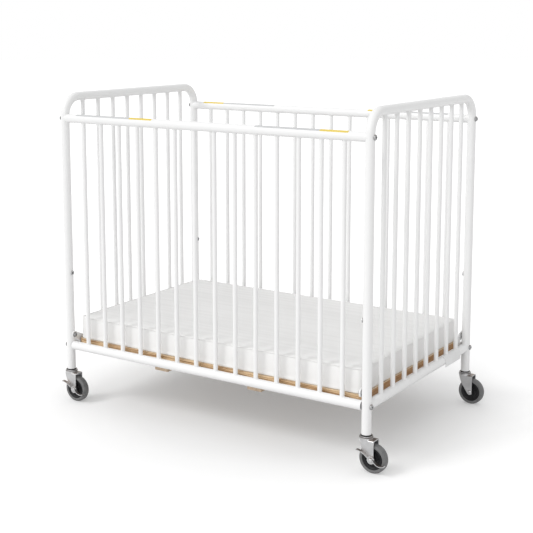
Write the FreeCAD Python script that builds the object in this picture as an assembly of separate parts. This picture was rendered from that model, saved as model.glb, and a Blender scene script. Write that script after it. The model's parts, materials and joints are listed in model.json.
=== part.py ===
import FreeCAD, Part
import math
import os

from FreeCAD import Vector

os.makedirs("parts", exist_ok=True)

# Evacuation crib: a steel nursery crib on four swivel casters, in millimetres.
# The origin lies on the floor under the middle of the crib, X runs along the crib,
# Y across it and Z up. The front is the long side at minus Y.

# Frame, measured between tube axes and up from the foot of the posts
POST_SPACING_X = 1001.0
POST_SPACING_Y = 624.0
TUBE_DIAMETER = 25.4
TUBE_WALL = 1.6
BOTTOM_RAIL_RISE = 73.6
SIDE_HEIGHT = 680.0
END_TOP_RISE = 61.0
END_BEND_RADIUS = 55.0
WELD_GAP = 0.05

# Spindles that close the four sides, with the space between a post and the nearest one
SPINDLE_DIAMETER = 12.7
SIDE_SPINDLE_COUNT = 14
SIDE_SPINDLE_MARGIN = 70.98
END_SPINDLE_COUNT = 8
END_SPINDLE_MARGIN = 76.03

# Bolts that hold each side rail to the posts, with the nuts welded into the rail ends
RAIL_BOLT_DIAMETER = 8.0
RAIL_BOLT_HEAD_DIAMETER = 14.6
RAIL_BOLT_HEAD_HEIGHT = 4.4
RAIL_BOLT_HOLE_CLEARANCE = 0.3
RAIL_NUT_LENGTH = 16.0
RAIL_NUT_CLEARANCE = 0.1

# Threaded inserts for the two heights of the mattress board, above the bottom rail
LOWER_INSERT_RISE = 33.0
INSERT_STEP = 188.0
INSERT_BODY_DIAMETER = 9.0
INSERT_FLANGE_DIAMETER = 14.0
INSERT_FLANGE_THICKNESS = 1.4
INSERT_LENGTH = 11.0
INSERT_THREAD_DIAMETER = 6.0
INSERT_HOLE_CLEARANCE = 0.1

# Mattress board, its battens and the mattress, which lies a little inside the board's edge
BOARD_THICKNESS = 18.0
BOARD_TOP_RISE = 20.3
BOARD_END_CLEARANCE = 6.8
BOARD_SIDE_CLEARANCE = 1.2
BOARD_CORNER_RADIUS = 15.0
BATTEN_WIDTH = 45.0
BATTEN_HEIGHT = 31.6
BATTEN_END_INSET = 4.1
LEFT_BATTEN_PLACE = -171.0
RIGHT_BATTEN_PLACE = 148.0
MATTRESS_END_INSET = 6.0
MATTRESS_SIDE_INSET = 3.1
MATTRESS_EDGE_HEIGHT = 66.0
MATTRESS_CROWN = 5.0
MATTRESS_CORNER_RADIUS = 22.0
MATTRESS_REST_CLEARANCE = 0.3

# Corner brackets that carry the board
BRACKET_THICKNESS = 3.0
BRACKET_EAR_RADIUS = 11.5
BRACKET_REACH = 45.0
BRACKET_FOOT_WIDTH = 23.0
BRACKET_FOOT_LENGTH = 38.0
BRACKET_TOP_DROP = 22.0
BRACKET_BEND_RADIUS = 4.0
BRACKET_BOLT_HEAD_DIAMETER = 12.4
BRACKET_BOLT_HEAD_HEIGHT = 3.6
BRACKET_WASHER_DIAMETER = 16.0
BRACKET_WASHER_THICKNESS = 1.4
BOLT_HOLE_CLEARANCE = 0.2

# Screws up through the bracket feet into the board
SCREW_DIAMETER = 4.0
SCREW_HEAD_DIAMETER = 9.0
SCREW_HEAD_HEIGHT = 2.6
SCREW_LENGTH = 15.0

# Caster sockets in the post feet and the fixed upper half of each caster
SOCKET_FLANGE_THICKNESS = 2.2
SOCKET_SLEEVE_LENGTH = 34.0
SOCKET_SLEEVE_CLEARANCE = 0.1
STEM_DIAMETER = 11.0
STEM_LENGTH = 30.0
STEM_CLEARANCE = 0.1
DISH_DIAMETER = 33.4
DISH_WALL = 2.0
DISH_RIM_HEIGHT = 1.8
DISH_THICKNESS = 2.6
KINGPIN_DIAMETER = 10.0
KINGPIN_HEAD_DIAMETER = 16.0
KINGPIN_HEAD_HEIGHT = 2.2
SWIVEL_GAP = 0.3
RUNNING_CLEARANCE = 0.08

# Swivelling fork of each caster
CASTER_TRAIL = 22.0
CROWN_DIAMETER = 36.2
CROWN_HEIGHT = 6.3
FORK_PLATE_THICKNESS = 2.5
FORK_BEND_RADIUS = 4.5
FORK_LENGTH = 28.5
FORK_INNER_WIDTH = 25.0
FORK_BOSS_RADIUS = 8.5

# Back edge of a fork leg: shares of the trail behind the swivel axis,
# and of the height from the axle to the fork's top
LEG_BACK_SHARES = ((-0.55, 1.0), (-0.32, 0.62), (0.02, 0.34))
LEG_FRONT_HEIGHT_SHARE = 0.34

# Wheel, its tyre and the axle
WHEEL_DIAMETER = 76.0
WHEEL_TOP_CLEARANCE = 9.0
TYRE_THICKNESS = 9.5
TYRE_WIDTH = 22.0
TYRE_CHAMFER = 3.0
HUB_WEB_THICKNESS = 6.0
HUB_BOSS_DIAMETER = 18.0
HUB_SIDE_CLEARANCE = 0.3
AXLE_DIAMETER = 8.0
AXLE_HEAD_WIDTH = 13.0
AXLE_HEAD_HEIGHT = 4.0

# Brake lever on the front casters, a strip pressed into two pedals about a round hub
LEVER_THICKNESS = 2.2
LEVER_HUB_DIAMETER = 21.0
LEVER_PEDAL_WIDTH = 9.0
LEVER_CLEARANCE = 0.3
LEVER_REACH = 40.0

# Centre line of the pedals from the axle: shares of the lever's reach, upper pedal first
LEVER_UPPER_SHARES = ((-0.98, 0.55), (-0.58, 0.46), (-0.17, 0.19))
LEVER_LOWER_SHARES = ((0.22, 0.06), (0.6, -0.24), (1.0, -0.18))

# One length past a face for every cut
CUT_OVERRUN = 5.0

# Places that follow from the sizes above
UP = Vector(0, 0, 1)
ALONG = Vector(1, 0, 0)
ACROSS = Vector(0, 1, 0)
TUBE_RADIUS = TUBE_DIAMETER / 2
TUBE_BORE_RADIUS = TUBE_RADIUS - TUBE_WALL
POST_X = POST_SPACING_X / 2
POST_Y = POST_SPACING_Y / 2
AXLE_HEIGHT = WHEEL_DIAMETER / 2
HUB_DIAMETER = WHEEL_DIAMETER - 2 * TYRE_THICKNESS
FORK_UNDERSIDE = WHEEL_DIAMETER + WHEEL_TOP_CLEARANCE
FORK_TOP_HEIGHT = FORK_UNDERSIDE + FORK_PLATE_THICKNESS
FORK_OUTER_WIDTH = FORK_INNER_WIDTH + 2 * FORK_PLATE_THICKNESS
CROWN_TOP_HEIGHT = FORK_UNDERSIDE + CROWN_HEIGHT
DISH_FLOOR_HEIGHT = CROWN_TOP_HEIGHT + SWIVEL_GAP + DISH_THICKNESS
POST_FOOT_HEIGHT = DISH_FLOOR_HEIGHT + SOCKET_FLANGE_THICKNESS
BOTTOM_RAIL_HEIGHT = POST_FOOT_HEIGHT + BOTTOM_RAIL_RISE
TOP_RAIL_HEIGHT = BOTTOM_RAIL_HEIGHT + SIDE_HEIGHT
END_TOP_HEIGHT = TOP_RAIL_HEIGHT + END_TOP_RISE
SIDE_SPINDLE_PITCH = (POST_SPACING_X - 2 * SIDE_SPINDLE_MARGIN) / (SIDE_SPINDLE_COUNT - 1)
END_SPINDLE_PITCH = (POST_SPACING_Y - 2 * END_SPINDLE_MARGIN) / (END_SPINDLE_COUNT - 1)
LOWER_INSERT_HEIGHT = BOTTOM_RAIL_HEIGHT + LOWER_INSERT_RISE
UPPER_INSERT_HEIGHT = LOWER_INSERT_HEIGHT + INSERT_STEP
BOARD_LENGTH = POST_SPACING_X - TUBE_DIAMETER - 2 * BOARD_END_CLEARANCE
BOARD_WIDTH = POST_SPACING_Y - TUBE_DIAMETER - 2 * BOARD_SIDE_CLEARANCE
BOARD_TOP_HEIGHT = BOTTOM_RAIL_HEIGHT + BOARD_TOP_RISE
BOARD_BOTTOM_HEIGHT = BOARD_TOP_HEIGHT - BOARD_THICKNESS
BATTEN_LENGTH = BOARD_WIDTH - 2 * BATTEN_END_INSET
MATTRESS_LENGTH = BOARD_LENGTH - 2 * MATTRESS_END_INSET
MATTRESS_WIDTH = BOARD_WIDTH - 2 * MATTRESS_SIDE_INSET
SIDES = (("front", -1), ("back", 1))
ENDS = (("left", -1), ("right", 1))


def rod(radius, start, direction, length):
    """Solid cylinder from a start point along a direction."""
    return Part.makeCylinder(radius, length, start, direction)


def block(low, high):
    """Box between two corners."""
    return Part.makeBox(high.x - low.x, high.y - low.y, high.z - low.z, low)


def prism(points, depth):
    """Flat outline pushed along a vector."""
    return Part.Face(Part.makePolygon(points + points[:1])).extrude(depth)


def hexagon(width, start, depth, corner_radius=None):
    """Hexagonal prism that starts at a point and runs along Y or X; width is across flats."""
    corner = corner_radius or width / math.sqrt(3)
    points = []
    for k in range(6):
        turn = math.radians(60 * k)
        if depth.x:
            offset = Vector(0, corner * math.cos(turn), corner * math.sin(turn))
        else:
            offset = Vector(corner * math.cos(turn), 0, corner * math.sin(turn))
        points.append(start + offset)
    return prism(points, depth)


def turned(profile, centre):
    """Solid of revolution about the vertical through a centre, from radius and height pairs."""
    points = [centre + Vector(radius, 0, height) for radius, height in profile]
    return Part.Face(Part.makePolygon(points + points[:1])).revolve(centre, UP, 360)


def save(name, solids):
    """Write one node as a STEP file."""
    shape = solids[0] if len(solids) == 1 else Part.makeCompound(solids)
    shape.exportStep("parts/" + name + ".step")


def bent_bar(radius):
    """Solid inverted U of the given radius about the end frame's centre line, at X zero."""
    spring_height = END_TOP_HEIGHT - END_BEND_RADIUS
    top_half = POST_Y - END_BEND_RADIUS
    pieces = [rod(radius, Vector(0, -top_half, END_TOP_HEIGHT), ACROSS, 2 * top_half)]
    for side in (-1, 1):
        foot = Vector(0, side * POST_Y, POST_FOOT_HEIGHT)
        pieces.append(rod(radius, foot, UP, spring_height - POST_FOOT_HEIGHT))
        circle = Part.makeCircle(radius, Vector(0, side * POST_Y, spring_height), UP)
        section = Part.Face(Part.Wire([circle]))
        bend_centre = Vector(0, side * top_half, spring_height)
        pieces.append(section.revolve(bend_centre, Vector(side, 0, 0), 90))
    return pieces[0].multiFuse(pieces[1:])


def bolt_way(side, height):
    """Drilling for a rail bolt through a post that stands at X zero."""
    reach = TUBE_RADIUS + CUT_OVERRUN
    radius = RAIL_BOLT_DIAMETER / 2 + RAIL_BOLT_HOLE_CLEARANCE
    return rod(radius, Vector(-reach, side * POST_Y, height), ALONG, 2 * reach)


def end_tube(end):
    """Tube bent into the two posts and the top of one end frame, drilled for its fasteners."""
    tube = bent_bar(TUBE_RADIUS).cut(bent_bar(TUBE_BORE_RADIUS))
    insert_hole = INSERT_BODY_DIAMETER / 2 + INSERT_HOLE_CLEARANCE
    reach = TUBE_RADIUS + CUT_OVERRUN
    cuts = []
    for side in (-1, 1):
        cuts += [bolt_way(side, height) for height in (BOTTOM_RAIL_HEIGHT, TOP_RAIL_HEIGHT)]
        for height in (LOWER_INSERT_HEIGHT, UPPER_INSERT_HEIGHT):
            start = Vector(0, side * POST_Y, height)
            cuts.append(rod(insert_hole, start, Vector(-end, 0, 0), reach))
    tube = tube.cut(cuts)
    tube.translate(Vector(end * POST_X, 0, 0))
    return tube


def tube_along(start, direction, length):
    """Straight length of frame tube."""
    outer = rod(TUBE_RADIUS, start, direction, length)
    return outer.cut(rod(TUBE_BORE_RADIUS, start, direction, length))


def end_bottom_rail(end):
    """Tube between the two posts of an end, hollowed to fit round them and notched for the bolts."""
    rail = tube_along(Vector(0, -POST_Y, BOTTOM_RAIL_HEIGHT), ACROSS, POST_SPACING_Y)
    cope = TUBE_RADIUS + WELD_GAP
    low = BOTTOM_RAIL_HEIGHT - TUBE_DIAMETER
    cuts = [rod(cope, Vector(0, s * POST_Y, low), UP, 2 * TUBE_DIAMETER) for s in (-1, 1)]
    cuts += [bolt_way(s, BOTTOM_RAIL_HEIGHT) for s in (-1, 1)]
    rail = rail.cut(cuts)
    rail.translate(Vector(end * POST_X, 0, 0))
    return rail


def top_rail(side):
    """Upper side tube, its ends hollowed to fit round the posts."""
    y = side * POST_Y
    rail = tube_along(Vector(-POST_X, y, TOP_RAIL_HEIGHT), ALONG, POST_SPACING_X)
    cope = TUBE_RADIUS + WELD_GAP
    low = TOP_RAIL_HEIGHT - TUBE_DIAMETER
    posts = [rod(cope, Vector(e * POST_X, y, low), UP, 2 * TUBE_DIAMETER) for e in (-1, 1)]
    return rail.cut(posts)


def bottom_rail(side):
    """Lower side tube, cut square where it meets the posts."""
    inner = POST_X - TUBE_RADIUS - WELD_GAP
    return tube_along(Vector(-inner, side * POST_Y, BOTTOM_RAIL_HEIGHT), ALONG, 2 * inner)


def spindle(x, y, top_height, rail_direction):
    """Upright bar whose two ends are hollowed to sit on the rails below and above."""
    radius = SPINDLE_DIAMETER / 2
    bar = rod(radius, Vector(x, y, BOTTOM_RAIL_HEIGHT), UP, top_height - BOTTOM_RAIL_HEIGHT)
    cope = TUBE_RADIUS + WELD_GAP
    cuts = []
    for height in (BOTTOM_RAIL_HEIGHT, top_height):
        start = Vector(x, y, height) - rail_direction * SPINDLE_DIAMETER
        cuts.append(rod(cope, start, rail_direction, 2 * SPINDLE_DIAMETER))
    return bar.cut(cuts)


def side_spindles(side):
    """Row of spindles along one long side."""
    middle = (SIDE_SPINDLE_COUNT - 1) / 2
    places = [(k - middle) * SIDE_SPINDLE_PITCH for k in range(SIDE_SPINDLE_COUNT)]
    return [spindle(x, side * POST_Y, TOP_RAIL_HEIGHT, ALONG) for x in places]


def end_spindles(end):
    """Row of spindles across one end."""
    middle = (END_SPINDLE_COUNT - 1) / 2
    places = [(k - middle) * END_SPINDLE_PITCH for k in range(END_SPINDLE_COUNT)]
    return [spindle(end * POST_X, y, END_TOP_HEIGHT, ACROSS) for y in places]


def corners():
    """End sign, side sign and post axis of each corner."""
    return [(e, s, Vector(e * POST_X, s * POST_Y, 0)) for _, e in ENDS for _, s in SIDES]


def rail_bolts():
    """Bolt through each post into the nut of each side rail."""
    solids = []
    shank_length = TUBE_DIAMETER + WELD_GAP + RAIL_NUT_LENGTH
    for end, _, post in corners():
        inward = Vector(-end, 0, 0)
        for height in (BOTTOM_RAIL_HEIGHT, TOP_RAIL_HEIGHT):
            face = post + Vector(end * TUBE_RADIUS, 0, height)
            head_start = face - inward * RAIL_BOLT_HEAD_HEIGHT
            head = rod(RAIL_BOLT_HEAD_DIAMETER / 2, head_start, inward, RAIL_BOLT_HEAD_HEIGHT)
            solids.append(head.fuse(rod(RAIL_BOLT_DIAMETER / 2, face, inward, shank_length)))
    return solids


def rail_nuts():
    """Hexagonal nut that sits on its corners in each rail end."""
    solids = []
    corner = TUBE_BORE_RADIUS - RAIL_NUT_CLEARANCE
    for end, _, post in corners():
        inward = Vector(-end, 0, 0)
        for height in (BOTTOM_RAIL_HEIGHT, TOP_RAIL_HEIGHT):
            start = post + Vector(-end * (TUBE_RADIUS + WELD_GAP), 0, height)
            nut = hexagon(0, start, inward * RAIL_NUT_LENGTH, corner)
            bore = RAIL_BOLT_DIAMETER / 2
            solids.append(nut.cut(rod(bore, start, inward, RAIL_NUT_LENGTH)))
    return solids


def post_inserts():
    """Flanged threaded inserts in the inner faces of the posts, at both board heights."""
    solids = []
    for end, _, post in corners():
        inward = Vector(-end, 0, 0)
        for height in (LOWER_INSERT_HEIGHT, UPPER_INSERT_HEIGHT):
            face = post + Vector(-end * TUBE_RADIUS, 0, height)
            tail = face - inward * INSERT_LENGTH
            body = rod(INSERT_BODY_DIAMETER / 2, tail, inward, INSERT_LENGTH)
            flange = rod(INSERT_FLANGE_DIAMETER / 2, face, inward, INSERT_FLANGE_THICKNESS)
            length = INSERT_LENGTH + INSERT_FLANGE_THICKNESS
            thread = rod(INSERT_THREAD_DIAMETER / 2, tail, inward, length)
            solids.append(body.fuse(flange).cut(thread))
    return solids


def bracket_place(end, side):
    """Point on the outer face of a bracket at its bolt, and the directions across and along."""
    x = end * (POST_X - TUBE_RADIUS - INSERT_FLANGE_THICKNESS)
    return Vector(x, side * POST_Y, LOWER_INSERT_HEIGHT), Vector(0, -side, 0), Vector(-end, 0, 0)


def corner_bracket(end, side):
    """Strap with a round ear on the post and a foot under the board."""
    bolt, across, inward = bracket_place(end, side)
    ear = rod(BRACKET_EAR_RADIUS, bolt, inward, BRACKET_THICKNESS)
    far = bolt + across * BRACKET_REACH
    near = bolt + across * (BRACKET_REACH - BRACKET_FOOT_WIDTH)
    foot_bottom = BOARD_BOTTOM_HEIGHT - BRACKET_THICKNESS
    rail_top = BOTTOM_RAIL_HEIGHT + TUBE_RADIUS
    outline = [
        bolt + UP * BRACKET_EAR_RADIUS,
        far + UP * (BRACKET_EAR_RADIUS - BRACKET_TOP_DROP),
        Vector(far.x, far.y, foot_bottom),
        Vector(near.x, near.y, foot_bottom),
        Vector(near.x, near.y, rail_top),
        bolt - UP * BRACKET_EAR_RADIUS,
    ]
    arm = prism(outline, inward * BRACKET_THICKNESS)
    base = [Vector(p.x, p.y, foot_bottom) for p in (near, far)]
    base += [p + inward * BRACKET_FOOT_LENGTH for p in reversed(base)]
    foot = prism(base, UP * BRACKET_THICKNESS)
    plate = arm.fuse(foot).removeSplitter()
    bend = [e for e in plate.Edges if is_bend_edge(e, bolt.x, foot_bottom)]
    plate = plate.makeFillet(BRACKET_BEND_RADIUS, bend).fuse(ear).removeSplitter()
    bolt_hole = INSERT_THREAD_DIAMETER / 2 + BOLT_HOLE_CLEARANCE
    screw_hole = SCREW_DIAMETER / 2 + BOLT_HOLE_CLEARANCE
    screw = screw_place(end, side) - UP * CUT_OVERRUN
    return plate.cut([
        rod(bolt_hole, bolt - inward * CUT_OVERRUN, inward, 2 * CUT_OVERRUN + BRACKET_THICKNESS),
        rod(screw_hole, screw, UP, 2 * CUT_OVERRUN + BRACKET_THICKNESS),
    ])


def is_bend_edge(edge, x, z):
    """Whether an edge is the outer corner between a bracket's plate and its foot."""
    ends = [v.Point for v in edge.Vertexes]
    return all(math.isclose(p.x, x) and math.isclose(p.z, z) for p in ends)


def screw_place(end, side):
    """Middle of a bracket foot's underside."""
    bolt, across, inward = bracket_place(end, side)
    middle = bolt + across * (BRACKET_REACH - BRACKET_FOOT_WIDTH / 2)
    middle = middle + inward * ((BRACKET_FOOT_LENGTH + BRACKET_THICKNESS) / 2)
    return Vector(middle.x, middle.y, BOARD_BOTTOM_HEIGHT - BRACKET_THICKNESS)


def bracket_bolts():
    """Bolt and washer that clamp each bracket to its insert."""
    solids = []
    for end, side, _ in corners():
        bolt, _, inward = bracket_place(end, side)
        face = bolt + inward * BRACKET_THICKNESS
        tail = bolt - inward * (INSERT_FLANGE_THICKNESS + INSERT_LENGTH)
        length = INSERT_FLANGE_THICKNESS + INSERT_LENGTH + BRACKET_THICKNESS
        shank = rod(INSERT_THREAD_DIAMETER / 2, tail, inward, length)
        washer = rod(BRACKET_WASHER_DIAMETER / 2, face, inward, BRACKET_WASHER_THICKNESS)
        head_start = face + inward * BRACKET_WASHER_THICKNESS
        head = rod(BRACKET_BOLT_HEAD_DIAMETER / 2, head_start, inward, BRACKET_BOLT_HEAD_HEIGHT)
        solids.append(shank.fuse([washer, head]))
    return solids


def board_screws():
    """Screw through each bracket foot into the board."""
    solids = []
    for end, side, _ in corners():
        place = screw_place(end, side)
        head_start = place - UP * SCREW_HEAD_HEIGHT
        head = rod(SCREW_HEAD_DIAMETER / 2, head_start, UP, SCREW_HEAD_HEIGHT)
        solids.append(head.fuse(rod(SCREW_DIAMETER / 2, place, UP, SCREW_LENGTH)))
    return solids


def mattress_board():
    """Flat board with rounded corners, with pilot holes for the bracket screws."""
    low = Vector(-BOARD_LENGTH / 2, -BOARD_WIDTH / 2, BOARD_BOTTOM_HEIGHT)
    high = Vector(BOARD_LENGTH / 2, BOARD_WIDTH / 2, BOARD_TOP_HEIGHT)
    board = block(low, high)
    uprights = [e for e in board.Edges if abs(e.tangentAt(e.FirstParameter).z) > 1 / 2]
    board = board.makeFillet(BOARD_CORNER_RADIUS, uprights)
    depth = SCREW_LENGTH - BRACKET_THICKNESS
    pilots = []
    for end, side, _ in corners():
        start = screw_place(end, side) + UP * BRACKET_THICKNESS
        pilots.append(rod(SCREW_DIAMETER / 2, start, UP, depth))
    return board.cut(pilots)


def board_battens():
    """Two battens fixed across the underside of the board."""
    solids = []
    for place in (LEFT_BATTEN_PLACE, RIGHT_BATTEN_PLACE):
        low = Vector(place - BATTEN_WIDTH / 2, -BATTEN_LENGTH / 2, BOARD_BOTTOM_HEIGHT - BATTEN_HEIGHT)
        high = Vector(place + BATTEN_WIDTH / 2, BATTEN_LENGTH / 2, BOARD_BOTTOM_HEIGHT)
        solids.append(block(low, high))
    return solids


def rounded_outline(inset, corner, height):
    """Closed outline of the mattress at one height, drawn in from its full size."""
    half_x = MATTRESS_LENGTH / 2 - inset
    half_y = MATTRESS_WIDTH / 2 - inset
    bow = corner * (1 - math.sqrt(1 / 2))
    edges = []
    signs = ((1, 1), (-1, 1), (-1, -1), (1, -1))
    arcs = []
    for sx, sy in signs:
        side_point = Vector(sx * half_x, sy * (half_y - corner), height)
        middle = Vector(sx * (half_x - bow), sy * (half_y - bow), height)
        long_point = Vector(sx * (half_x - corner), sy * half_y, height)
        ends = (side_point, long_point) if sx * sy > 0 else (long_point, side_point)
        arcs.append((ends[0], middle, ends[1]))
    for k, (start, middle, finish) in enumerate(arcs):
        edges.append(Part.Arc(start, middle, finish).toShape())
        edges.append(Part.LineSegment(finish, arcs[(k + 1) % len(arcs)][0]).toShape())
    return Part.Wire(edges)


# Sections of the mattress from its base up: share of the edge height,
# and how far the outline is drawn in as a share of the corner radius
MATTRESS_SECTION_SHARES = (
    (0.0, 0.32), (0.1, 0.07), (0.35, 0.0), (0.72, 0.03), (0.9, 0.16), (0.98, 0.42), (1.0, 0.72),
)
CROWN_INSET_SHARE = 0.5


def mattress():
    """Foam mattress in a cover: soft edges, drawn-in sides and a low crown on top."""
    base = BOARD_TOP_HEIGHT + MATTRESS_REST_CLEARANCE
    wires = []
    for height_share, inset_share in MATTRESS_SECTION_SHARES:
        inset = inset_share * MATTRESS_CORNER_RADIUS
        corner = MATTRESS_CORNER_RADIUS - inset / 2
        wires.append(rounded_outline(inset, corner, base + height_share * MATTRESS_EDGE_HEIGHT))
    crown_inset = CROWN_INSET_SHARE * MATTRESS_WIDTH / 2
    crown_height = base + MATTRESS_EDGE_HEIGHT + MATTRESS_CROWN
    wires.append(rounded_outline(crown_inset, MATTRESS_CORNER_RADIUS / 2, crown_height))
    return Part.makeLoft(wires, True, True)


def stem_sockets():
    """Plastic sleeve pressed into each post foot, with a flange under the tube's end."""
    solids = []
    sleeve_radius = TUBE_BORE_RADIUS - SOCKET_SLEEVE_CLEARANCE
    for _, _, post in corners():
        start = post + UP * DISH_FLOOR_HEIGHT
        flange = rod(TUBE_RADIUS, start, UP, SOCKET_FLANGE_THICKNESS)
        length = SOCKET_FLANGE_THICKNESS + SOCKET_SLEEVE_LENGTH
        sleeve = rod(sleeve_radius, start, UP, length)
        bore = rod(STEM_DIAMETER / 2 + STEM_CLEARANCE, start, UP, length)
        solids.append(flange.fuse(sleeve).cut(bore))
    return solids


def caster_stems():
    """Stem, upper race dish and riveted kingpin of each caster, fixed to the post."""
    rim_top = DISH_FLOOR_HEIGHT + DISH_RIM_HEIGHT
    dish_bottom = DISH_FLOOR_HEIGHT - DISH_THICKNESS
    head_top = FORK_UNDERSIDE - SWIVEL_GAP
    profile = (
        (0, DISH_FLOOR_HEIGHT + STEM_LENGTH),
        (STEM_DIAMETER / 2, DISH_FLOOR_HEIGHT + STEM_LENGTH),
        (STEM_DIAMETER / 2, DISH_FLOOR_HEIGHT),
        (DISH_DIAMETER / 2 - DISH_WALL, DISH_FLOOR_HEIGHT),
        (DISH_DIAMETER / 2 - DISH_WALL, rim_top),
        (DISH_DIAMETER / 2, rim_top),
        (DISH_DIAMETER / 2, dish_bottom),
        (KINGPIN_DIAMETER / 2, dish_bottom),
        (KINGPIN_DIAMETER / 2, head_top),
        (KINGPIN_HEAD_DIAMETER / 2, head_top),
        (KINGPIN_HEAD_DIAMETER / 2, head_top - KINGPIN_HEAD_HEIGHT),
        (0, head_top - KINGPIN_HEAD_HEIGHT),
    )
    return [turned(profile, post) for _, _, post in corners()]


def tangent_point(point, centre, radius, turn):
    """Where the line from a point in the XZ plane touches a circle, on the given hand."""
    away = point - centre
    angle = math.atan2(away.z, away.x) + turn * math.acos(radius / away.Length)
    return centre + Vector(radius * math.cos(angle), 0, radius * math.sin(angle))


def fork_side(post, face):
    """Side view of a fork, on a plane across Y: it narrows from the plate to the axle's boss."""
    axle = post + Vector(CASTER_TRAIL, face, AXLE_HEIGHT)
    rise = FORK_TOP_HEIGHT - AXLE_HEIGHT
    back = []
    for along_share, height_share in LEG_BACK_SHARES:
        height = AXLE_HEIGHT + height_share * rise
        back.append(post + Vector(along_share * CASTER_TRAIL, face, height))
    shoulder_height = AXLE_HEIGHT + LEG_FRONT_HEIGHT_SHARE * rise
    front_top = post + Vector(FORK_LENGTH, face, FORK_TOP_HEIGHT)
    shoulder = post + Vector(FORK_LENGTH, face, shoulder_height)
    back_touch = tangent_point(back[2], axle, FORK_BOSS_RADIUS, 1)
    front_touch = tangent_point(shoulder, axle, FORK_BOSS_RADIUS, -1)
    low = axle - UP * FORK_BOSS_RADIUS
    edges = [
        Part.Arc(back[0], back[1], back[2]).toShape(),
        Part.LineSegment(back[2], back_touch).toShape(),
        Part.Arc(back_touch, low, front_touch).toShape(),
        Part.LineSegment(front_touch, shoulder).toShape(),
        Part.LineSegment(shoulder, front_top).toShape(),
        Part.LineSegment(front_top, back[0]).toShape(),
    ]
    return Part.Face(Part.Wire(edges))


def arch(x, half, top, foot, radius):
    """Open path up one side, round two bends and down the other, from minus Y to plus Y."""
    bow = radius * (1 - math.sqrt(1 / 2))
    corners_on_arch = []
    for s in (-1, 1):
        low = Vector(x, s * half, top - radius)
        middle = Vector(x, s * (half - bow), top - bow)
        high = Vector(x, s * (half - radius), top)
        corners_on_arch.append((low, middle, high))
    (low_a, middle_a, high_a), (low_b, middle_b, high_b) = corners_on_arch
    return [
        Part.LineSegment(Vector(x, -half, foot), low_a).toShape(),
        Part.Arc(low_a, middle_a, high_a).toShape(),
        Part.LineSegment(high_a, high_b).toShape(),
        Part.Arc(high_b, middle_b, low_b).toShape(),
        Part.LineSegment(low_b, Vector(x, half, foot)).toShape(),
    ]


def folded_sheet(post):
    """Sheet folded into the fork's plate and two legs, before its sides are shaped."""
    x = post.x + LEG_BACK_SHARES[0][0] * CASTER_TRAIL
    half = FORK_OUTER_WIDTH / 2
    inner = FORK_INNER_WIDTH / 2
    foot = AXLE_HEIGHT - FORK_BOSS_RADIUS
    outer = arch(x, half, FORK_TOP_HEIGHT, foot, FORK_BEND_RADIUS)
    hollow = arch(x, inner, FORK_UNDERSIDE, foot, FORK_BEND_RADIUS - FORK_PLATE_THICKNESS)
    feet = [
        Part.LineSegment(Vector(x, s * half, foot), Vector(x, s * inner, foot)).toShape()
        for s in (-1, 1)
    ]
    wire = Part.Wire(Part.__sortEdges__(outer + hollow + feet))
    sheet = Part.Face(wire).extrude(ALONG * (post.x + FORK_LENGTH - x))
    sheet.translate(ACROSS * post.y)
    return sheet


def caster_fork(post):
    """Crown with its lower race, a top plate and two legs, pressed from one sheet."""
    side_view = fork_side(post, -FORK_OUTER_WIDTH / 2).extrude(ACROSS * FORK_OUTER_WIDTH)
    crown = rod(CROWN_DIAMETER / 2, post + UP * FORK_UNDERSIDE, UP, CROWN_HEIGHT)
    fork = folded_sheet(post).common(side_view).fuse(crown).removeSplitter()
    hole = KINGPIN_DIAMETER / 2 + RUNNING_CLEARANCE
    start = post + UP * (FORK_UNDERSIDE - CUT_OVERRUN)
    axle = post + Vector(CASTER_TRAIL, 0, AXLE_HEIGHT)
    return fork.cut([
        rod(hole, start, UP, CROWN_HEIGHT + 2 * CUT_OVERRUN),
        disc_across(AXLE_DIAMETER / 2 + RUNNING_CLEARANCE, axle, FORK_OUTER_WIDTH),
    ])


def disc_across(radius, centre, half_width):
    """Cylinder along Y that is centred on a point."""
    return rod(radius, centre - ACROSS * half_width, ACROSS, 2 * half_width)


def wheel_tyre(axle):
    """Rubber tyre with chamfered shoulders."""
    half = TYRE_WIDTH / 2
    radius = WHEEL_DIAMETER / 2
    profile = (
        (HUB_DIAMETER / 2, -half),
        (radius - TYRE_CHAMFER, -half),
        (radius, -half + TYRE_CHAMFER),
        (radius, half - TYRE_CHAMFER),
        (radius - TYRE_CHAMFER, half),
        (HUB_DIAMETER / 2, half),
    )
    points = [axle + Vector(0, y, r) for r, y in profile]
    return Part.Face(Part.makePolygon(points + points[:1])).revolve(axle, ACROSS, 360)


def wheel_hub(axle):
    """Plastic hub: a web inside the tyre and a boss round the axle."""
    web = disc_across(HUB_DIAMETER / 2, axle, HUB_WEB_THICKNESS / 2)
    boss = disc_across(HUB_BOSS_DIAMETER / 2, axle, FORK_INNER_WIDTH / 2 - HUB_SIDE_CLEARANCE)
    bore = disc_across(AXLE_DIAMETER / 2 + RUNNING_CLEARANCE, axle, FORK_INNER_WIDTH)
    return web.fuse(boss).cut(bore)


def caster_axle(axle, with_lever):
    """Axle bolt through the fork legs and the nut on its back end."""
    half = FORK_OUTER_WIDTH / 2
    lever_space = LEVER_THICKNESS + 2 * LEVER_CLEARANCE if with_lever else 0
    head_face = axle - ACROSS * (half + lever_space)
    head = hexagon(AXLE_HEAD_WIDTH, head_face, ACROSS * -AXLE_HEAD_HEIGHT)
    length = 2 * half + lever_space + AXLE_HEAD_HEIGHT
    shank = rod(AXLE_DIAMETER / 2, head_face, ACROSS, length)
    nut = hexagon(AXLE_HEAD_WIDTH, axle + ACROSS * half, ACROSS * AXLE_HEAD_HEIGHT)
    return [head.fuse(shank), nut.cut(shank)]


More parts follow.
